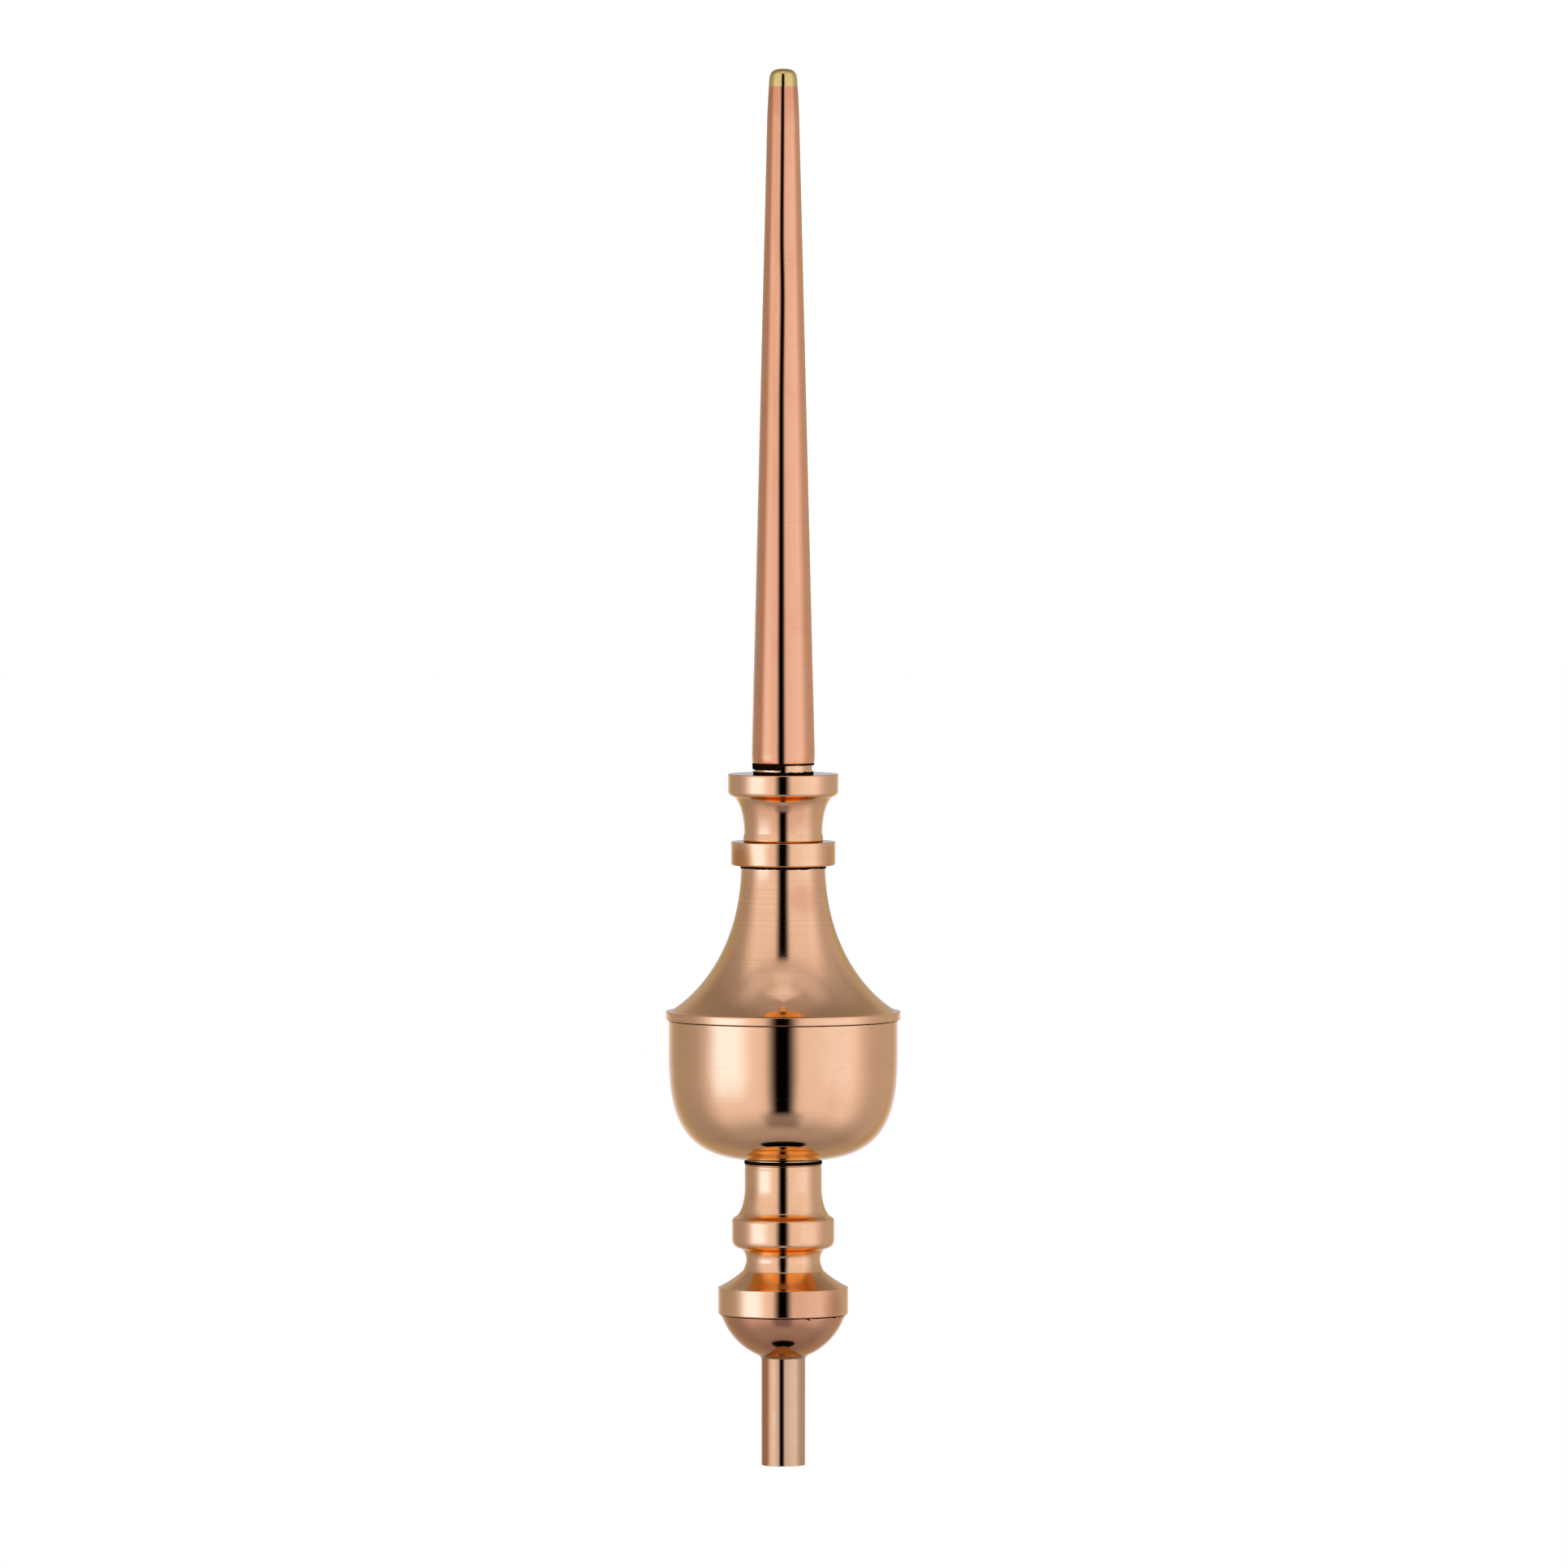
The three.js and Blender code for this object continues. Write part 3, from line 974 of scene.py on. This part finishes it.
@dataclass(frozen=True)
class Joints:
    """The blackened solder between the pieces and the dark rings of painted shade under the rim's edge and
    the collar's lip, at heights that the pieces give. Sizes in millimetres.
    """

    foot: Foot
    urn: Urn
    head: Head

    def seams(self) -> tuple[Seam, ...]:
        """Lists the seams that run all the way round."""
        foot, urn, head = self.foot, self.urn, self.head
        spigot, spire, flange = head.spigot_diameter / 2, head.spire_foot, head.flange_top
        cover, ring, lip = urn.cover_top_diameter / 2, urn.ring_foot, head.lip_diameter / 2
        bowl, rim = urn.bowl_diameter / 2, urn.rim_foot
        sleeve, ball, joint = foot.sleeve_diameter / 2, foot.seam_radius, foot.seam
        return (
            Seam("solder_under_spire", spigot - 0.3, spigot + 0.95, spire - 0.55, spire + 0.55, 0.35),
            Seam("solder_on_flange", spigot - 0.3, spigot + 0.55, flange - 0.1, flange + 1.2, 0.9, 2.4),
            Seam("solder_under_ring", cover - 0.5, cover + 0.3, ring - 1.4, ring + 0.1, 0.8, 2.6),
            # Painted shade: this dark ring stands in for the shadow line under the collar's lip.
            Seam("painted_shade_under_collar_lip", lip - 1.3, lip - 0.25, head.base - 0.05, head.base + 0.55, 0.3),
            # Solder and painted shade: this dark ring is the joint under the rim and also stands in for the
            # shade under the rim's lower edge.
            Seam("solder_and_painted_shade_under_rim", bowl - 0.4, bowl + 0.22, rim - 0.55, rim + 0.05, 0.2),
            Seam("solder_at_neck", sleeve - 1.2, sleeve + 0.14, foot.neck + 0.3, foot.top - 0.3, 0.08),
            Seam("solder_at_half_ball", ball - 0.5, ball + 0.3, joint - 0.5, joint + 0.05, 0.35),
        )

    def wedge(self) -> bpy.types.Object:
        """Builds the thick run under the spire's left side, cut off where it ends in front."""
        radius, top = self.head.spigot_diameter / 2, self.head.spire_foot
        seam = Seam("solder_lump_under_spire", radius - 0.4, radius + 0.85, top - 2.9, top + 0.1, 0.5, 2.2)
        piece = seam.run()
        cuts = (
            ((-0.8, 0.0, 0.6), (-0.5, 0.0, top - 1.5)),
            ((0.16, 0.0, 1.0), (-radius, 0.0, top - 2.7)),
        )
        bpy.ops.object.mode_set(mode="EDIT")
        for normal, place in cuts:
            bpy.ops.mesh.select_all(action="SELECT")
            bpy.ops.mesh.bisect(
                plane_co=[value * MM for value in place], plane_no=normal, use_fill=True, clear_inner=True
            )
        bpy.ops.object.mode_set(mode="OBJECT")
        return piece

    def fillet(self) -> bpy.types.Object:
        """Builds the golden fillet where the stem tube enters the half ball."""
        tube, top = self.foot.tube_diameter / 2, self.foot.tube_showing
        inner, low = tube - 0.4, top - 0.9
        outline = (
            Outline(inner, low)
            .line(tube + 0.02, low)
            .bend((tube + 0.3, top - 0.1), (tube + 1.9, top + 0.75), 5)
            .line(inner, top + 1.2)
            .line(inner, low)
        )
        piece = spin_up("solder_at_tube", outline)
        roughen(piece, 0.25, 3.0)
        return piece

    def spots(self) -> bpy.types.Object:
        """Builds the dark drops beside the half ball's seam."""
        reach, level = self.foot.seam_radius + 0.1, self.foot.seam - 0.5
        thickness = 0.7
        sizes = ((23, 1.6, 0.8, 0.0), (25, 0.8, 0.5, -0.6), (55, 3.2, 0.9, 0.1), (61, 1.5, 0.6, 0.4))
        drops = []
        for azimuth, width, tall, lift in sizes:
            turn = math.radians(azimuth)
            bpy.ops.object.select_all(action="DESELECT")
            bpy.ops.mesh.primitive_ico_sphere_add(subdivisions=3, radius=MM / 2)
            drop = bpy.context.active_object
            bpy.ops.object.mode_set(mode="EDIT")
            bpy.ops.transform.resize(value=(width, thickness, tall))
            bpy.ops.transform.rotate(value=-turn, orient_axis="Z", center_override=(0, 0, 0))
            place = (reach * math.sin(turn), -reach * math.cos(turn), level + lift)
            bpy.ops.transform.translate(value=[value * MM for value in place])
            bpy.ops.object.mode_set(mode="OBJECT")
            bpy.ops.object.shade_smooth()
            drops.append(drop)
        bpy.ops.object.select_all(action="DESELECT")
        for drop in drops:
            drop.select_set(True)
        bpy.context.view_layer.objects.active = drops[0]
        bpy.ops.object.join()
        drops[0].name = drops[0].data.name = "solder_drops_at_half_ball"
        return drops[0]

    def build(self, solder_and_shade: SolderAndShadeFinish, bright: SolderAndShadeFinish) -> None:
        """Runs and dresses all the joints.

        Args:
            solder_and_shade: the blackened solder, which also paints the shade under the rim's edge and
                under the collar's lip.
            bright: the golden solder round the tube.
        """
        dark = solder_and_shade.material()
        for seam in self.seams():
            hand_over(seam.run(), dark)
        hand_over(self.wedge(), dark)
        hand_over(self.spots(), dark)
        hand_over(self.fillet(), bright.material())


@dataclass(frozen=True)
class Patch:
    """A soft-edged patch of the studio. Angles in degrees, azimuth 0 towards the camera."""

    azimuth: float
    full_width: float
    zero_width: float
    low: Pair
    high: Pair
    strength: float
    tint: str = SOFTBOX_TINT

    def light(self) -> Light:
        """Gives the red, green and blue of the patch's light."""
        return tinted(self.tint, self.strength)

    def weight(self, tree: Tree, azimuth: Socket, elevation: Socket) -> Socket:
        """Gives one inside the patch, zero outside it and a smooth step between.

        Args:
            tree: the studio's node tree.
            azimuth: the direction's azimuth.
            elevation: the direction's elevation.

        Returns:
            The share of the patch's light in that direction.
        """
        offset = add_node(tree, "ShaderNodeMath", {0: azimuth, 1: self.azimuth}, operation="SUBTRACT")
        aside = add_node(tree, "ShaderNodeMath", {0: offset.outputs[0], 1: 180.0}, operation="PINGPONG")
        edges = (
            (aside.outputs[0], self.full_width, self.zero_width, 1.0, 0.0),
            (elevation, *self.low, 0.0, 1.0),
            (elevation, *self.high, 1.0, 0.0),
        )
        product: Any = 1.0
        for value, start, stop, first, last in edges:
            inputs = {"Value": value, "From Min": start, "From Max": stop, "To Min": first, "To Max": last}
            ramp = add_node(tree, "ShaderNodeMapRange", inputs, interpolation_type="SMOOTHSTEP")
            times = add_node(tree, "ShaderNodeMath", {0: ramp.outputs[0], 1: product}, operation="MULTIPLY")
            product = times.outputs[0]
        return product


@dataclass(frozen=True)
class Studio:
    """A white floor well below the object, and a tent of soft light that only polished metal sees."""

    floor_size: float = 160.0
    floor_drop: float = 2.5
    floor_paint: str = "f5f5f5"
    daylight_strength: float = 1.1
    tent_radius: float = 30.0
    tent_strength: float = 1.083
    ambient: tuple[Pair, ...] = (
        (-90.0, 0.29),
        (-72.0, 0.355),
        (-52.0, 0.38),
        (-30.0, 0.41),
        (-8.0, 0.455),
        (20.0, 0.445),
        (45.0, 0.39),
        (62.0, 0.40),
        (90.0, 0.44),
    )
    lights: tuple[Patch, ...] = (
        Patch(0.0, 60.0, 130.0, (-88.0, -62.0), (78.0, 88.0), 0.11),
        Patch(-48.0, 16.0, 56.0, (-58.0, -26.0), (44.0, 66.0), 0.48),
        Patch(-58.0, 6.0, 31.0, (-27.0, -4.0), (-4.0, 8.0), 0.74, DAYLIGHT_TINT),
        Patch(46.0, 18.0, 60.0, (-58.0, -26.0), (44.0, 66.0), 0.463),
        Patch(105.0, 25.0, 50.0, (-55.0, -30.0), (40.0, 66.0), 0.13),
        Patch(57.0, 4.0, 30.0, (-22.0, -6.0), (-4.0, 8.0), 0.16, DAYLIGHT_TINT),
        Patch(0.0, 60.0, 150.0, (54.0, 64.0), (66.0, 76.0), 0.25),
        Patch(0.0, 12.0, 38.0, (58.0, 70.0), (72.0, 86.0), 0.17),
        Patch(0.0, 50.0, 80.0, (68.0, 80.0), (98.0, 110.0), 0.28),
        Patch(0.0, 22.0, 60.0, (70.0, 84.0), (98.0, 110.0), 0.15),
        Patch(180.0, 12.0, 40.0, (-32.0, -12.0), (-2.0, 1.0), 0.30, WHITE_TINT),
        Patch(180.0, 10.0, 60.0, (-60.0, -50.0), (40.0, 60.0), 0.08, WHITE_TINT),
    )
    shades: tuple[Patch, ...] = (
        Patch(-1.0, 4.5, 20.0, (-40.0, -31.0), (49.0, 56.0), 1.0, WHITE_TINT),
        Patch(-1.0, 12.0, 32.0, (-60.0, -47.0), (-38.0, -28.0), 0.5, WHITE_TINT),
        Patch(180.0, 34.0, 80.0, (20.0, 34.0), (62.0, 80.0), 0.25, WHITE_TINT),
        Patch(180.0, 30.0, 50.0, (-1.0, 2.0), (12.0, 24.0), 0.026, BLUE_GEL_TINT),
        Patch(180.0, 30.0, 50.0, (-60.0, -40.0), (-14.0, -8.0), 0.009, BLUE_GEL_TINT),
    )
    hole_aside: float = 0.25
    hole_along: float = 0.19
    hole_behind: float = 0.08
    hole_edge: Pair = (0.88, 1.02)
    least_depth: float = 0.001

    def floor(self) -> None:
        """Lays the plain white floor."""
        bpy.ops.object.select_all(action="DESELECT")
        bpy.ops.mesh.primitive_plane_add(size=self.floor_size, location=(0, 0, -self.floor_drop))
        floor = bpy.context.active_object
        floor.name = "studio_floor"
        bpy.ops.object.transform_apply(location=True)
        paint, tree = blank_material("matt_white_floor_paint")
        shader = add_node(tree, "ShaderNodeBsdfDiffuse", {"Color": linear(self.floor_paint)})
        add_node(tree, "ShaderNodeOutputMaterial", {"Surface": shader.outputs[0]})
        floor.data.materials.append(paint)
        floor.visible_glossy = False

    def tent(self) -> None:
        """Hangs the tent of light round the object."""
        bpy.ops.object.select_all(action="DESELECT")
        bpy.ops.mesh.primitive_uv_sphere_add(segments=96, ring_count=48, radius=self.tent_radius)
        tent = bpy.context.active_object
        tent.name = "studio_light_tent"
        bpy.ops.object.shade_smooth()
        tent.data.materials.append(self.cloth())
        tent.visible_camera = False
        tent.visible_diffuse = False
        tent.visible_shadow = False

    def cloth(self) -> bpy.types.Material:
        """Builds the tent's cloth: dim all over, with its lights, its dark patches and the hole below."""
        light, tree = blank_material("studio_light_cloth")
        place = add_node(tree, "ShaderNodeTexCoord", {}).outputs["Object"]
        way = add_node(tree, "ShaderNodeVectorMath", {0: place}, operation="NORMALIZE").outputs[0]
        axes = add_node(tree, "ShaderNodeSeparateXYZ", {0: way})
        azimuth = bearing(tree, axes)
        tilt = add_node(tree, "ShaderNodeMath", {0: axes.outputs["Z"]}, operation="ARCSINE")
        elevation = add_node(tree, "ShaderNodeMath", {0: tilt.outputs[0]}, operation="DEGREES").outputs[0]
        inputs = {"Value": elevation, "From Min": -90.0, "From Max": 90.0}
        share = add_node(tree, "ShaderNodeMapRange", inputs).outputs[0]
        ramp = add_node(tree, "ShaderNodeValToRGB", {0: share})
        fill_ramp(ramp, [((angle + 90) / 180, tinted(CLOTH_TINT, level)) for angle, level in self.ambient])
        total = ramp.outputs[0]
        for patch in self.lights:
            inputs = {0: patch.light(), "Scale": patch.weight(tree, azimuth, elevation)}
            glow = add_node(tree, "ShaderNodeVectorMath", inputs, operation="SCALE").outputs[0]
            total = add_node(tree, "ShaderNodeVectorMath", {0: total, 1: glow}, operation="ADD").outputs[0]
        for patch in self.shades:
            total = self.dim(tree, total, patch.weight(tree, azimuth, elevation), patch.light())
        total = self.dim(tree, total, self.hole(tree, axes), (1.0, 1.0, 1.0))
        inputs = {"Color": total, "Strength": self.tent_strength}
        cloth = add_node(tree, "ShaderNodeEmission", inputs)
        add_node(tree, "ShaderNodeOutputMaterial", {"Surface": cloth.outputs[0]})
        light.cycles.emission_sampling = "NONE"
        return light

    def hole(self, tree: Tree, axes: Node) -> Socket:
        """Finds the oval hole in the tent below the object, through which the dark room shows.

        Args:
            tree: the studio's node tree.
            axes: the direction, split in three.

        Returns:
            One inside the hole, zero outside it and a smooth step between.
        """
        down = add_node(tree, "ShaderNodeMath", {0: axes.outputs["Z"], 1: -1.0}, operation="MULTIPLY")
        inputs = {0: down.outputs[0], 1: self.least_depth}
        depth = add_node(tree, "ShaderNodeMath", inputs, operation="MAXIMUM").outputs[0]
        aside = add_node(tree, "ShaderNodeMath", {0: axes.outputs["X"], 1: depth}, operation="DIVIDE")
        along = add_node(tree, "ShaderNodeMath", {0: axes.outputs["Y"], 1: depth}, operation="DIVIDE")
        inputs = {0: along.outputs[0], 1: self.hole_behind}
        centred = add_node(tree, "ShaderNodeMath", inputs, operation="SUBTRACT")
        place = add_node(tree, "ShaderNodeCombineXYZ", {"X": aside.outputs[0], "Y": centred.outputs[0]})
        inputs = {0: place.outputs[0], 1: (1 / self.hole_aside, 1 / self.hole_along, 0.0)}
        scaled = add_node(tree, "ShaderNodeVectorMath", inputs, operation="MULTIPLY")
        reach = add_node(tree, "ShaderNodeVectorMath", {0: scaled.outputs[0]}, operation="LENGTH")
        start, stop = self.hole_edge
        value = reach.outputs["Value"]
        inputs = {"Value": value, "From Min": start, "From Max": stop, "To Min": 1.0, "To Max": 0.0}
        edge = add_node(tree, "ShaderNodeMapRange", inputs, interpolation_type="SMOOTHSTEP")
        return edge.outputs[0]

    def dim(self, tree: Tree, total: Socket, share: Socket, depth: Light) -> Socket:
        """Takes a share of the light away.

        Args:
            tree: the studio's node tree.
            total: the light so far.
            share: how far the direction is inside the dark patch, from 0 to 1.
            depth: how much of the red, green and blue the patch takes at its middle.

        Returns:
            The light that is left.
        """
        taken = add_node(tree, "ShaderNodeVectorMath", {0: depth, "Scale": share}, operation="SCALE")
        inputs = {0: (1.0, 1.0, 1.0), 1: taken.outputs[0]}
        left = add_node(tree, "ShaderNodeVectorMath", inputs, operation="SUBTRACT")
        kept = add_node(tree, "ShaderNodeVectorMath", {0: total, 1: left.outputs[0]}, operation="MULTIPLY")
        return kept.outputs[0]

    def daylight(self) -> None:
        """Fills the room with even white light, which lights the floor and whitens the background."""
        world = bpy.data.worlds.new("white_studio")
        bpy.context.scene.world = world
        world.use_nodes = True
        tree = world.node_tree
        tree.nodes.clear()
        inputs = {"Color": (1.0, 1.0, 1.0, 1.0), "Strength": self.daylight_strength}
        glow = add_node(tree, "ShaderNodeBackground", inputs)
        add_node(tree, "ShaderNodeOutputWorld", {"Surface": glow.outputs[0]})
        world.cycles_visibility.glossy = False

    def build(self) -> None:
        """Sets up the floor, the tent and the daylight."""
        self.floor()
        self.tent()
        self.daylight()
        bpy.context.scene.view_settings.view_transform = "Standard"


@dataclass
class LongLens:
    """The photograph's view: far off, level with the nose, and tipped a little down."""

    distance: float = 7.75
    height: float = 0.6827
    aside: float = 0.0004
    pitch: float = 2.4988
    lens: float = 352.94

    def build(self) -> None:
        """Makes the camera and hands it to the scene."""
        data = bpy.data.cameras.new("long_lens")
        data.lens = self.lens
        data.sensor_width = 36.0
        data.clip_end = 200.0
        camera = bpy.data.objects.new("long_lens", data)
        bpy.context.scene.collection.objects.link(camera)
        camera.location = (self.aside, -self.distance, self.height)
        camera.rotation_euler = (math.radians(90 - self.pitch), 0, 0)
        bpy.context.scene.camera = camera


def main() -> None:
    """Builds the finial from the foot up, then its studio and camera."""
    logging.basicConfig(level=logging.INFO, format="%(name)s: %(message)s")
    LongLens().build()
    foot = Foot()
    skirt_stains = (StainAndReflection(15.0, -28.5, 82.0, 24.0, 0.8), StainAndReflection(24.0, -21.5, 82.0, 12.0, 0.9))
    foot.build(
        SpunCopper(name="stained_baluster_copper", stains_and_reflections=skirt_stains, cloud_amount=0.4),
        SpunCopper(name="dull_spun_copper", colour="de9454", warm_colour="c97f48", roughness=0.08),
        SpunCopper(
            name="drawn_copper_tube",
            colour="dba35f",
            warm_colour="cf8440",
            flank=Flank(-62.0, 30.0, 48.0, 0.95),
            ovals=((0.0, 0.065), (60.0, 0.065)),
        ),
    )
    urn = Urn(base=foot.top, seat_radius=foot.sleeve_diameter / 2 - foot.groove_depth)
    cover_stains = (StainAndReflection(9.0, -19.5, 287.0, 11.0, 0.55), StainAndReflection(17.0, -31.0, 257.0, 9.0, 0.3))
    cover_copper = SpunCopper(
        name="stained_cover_copper", stains_and_reflections=cover_stains, roughness=0.08, ring_depth_mm=0.0012, ring_tone=0.3
    )
    ring_stains = (StainAndReflection(-21.0, -15.5, 307.0, 12.0, 0.85), StainAndReflection(24.0, -10.0, 307.0, 9.0, 0.5))
    ring_copper = SpunCopper(name="stained_ring_copper", stains_and_reflections=ring_stains, warm_colour="d98a3c")
    urn.build(SpunCopper(), cover_copper, ring_copper)
    head = Head(base=urn.top)
    spire_copper = SpunCopper(
        name="brazed_spire_copper",
        colour="f3a45c",
        warm_colour="dc8442",
        braze_height_mm=head.nose_foot,
        flank=Flank(-35.0, 10.0, 22.0, 0.65, 12.0),
        ovals=(
            (355.0, 0.055),
            (430.0, 0.06),
            (535.0, 0.07),
            (592.0, 0.025),
            (621.0, 0.065),
            (700.0, 0.02),
        ),
    )
    nose_brass = SpunCopper(name="filed_brass", colour="e3b857", warm_colour="c99f45", wave_size_mm=6.0)
    # Painted reflection: two warm patches at the front of the cove stand in for the flange's copper
    # reflected in the cove.
    cove_painted_reflection = (StainAndReflection(-7.0, -19.0, 329.0, 13.0, 0.65), StainAndReflection(7.0, -19.0, 329.0, 13.0, 0.65))
    collar_copper = SpunCopper(name="collar_copper_with_painted_reflection", stains_and_reflections=cove_painted_reflection, cloud_amount=0.3)
    head.build(collar_copper, spire_copper, nose_brass)
    bright = SolderAndShadeFinish(
        name="golden_solder",
        colour="8a6a34",
        lump_colour="c09050",
        roughness=0.3,
        metallic=0.9,
        specular=0.5,
    )
    Joints(foot, urn, head).build(SolderAndShadeFinish(), bright)
    Studio().build()


if __name__ == "__main__":
    main()
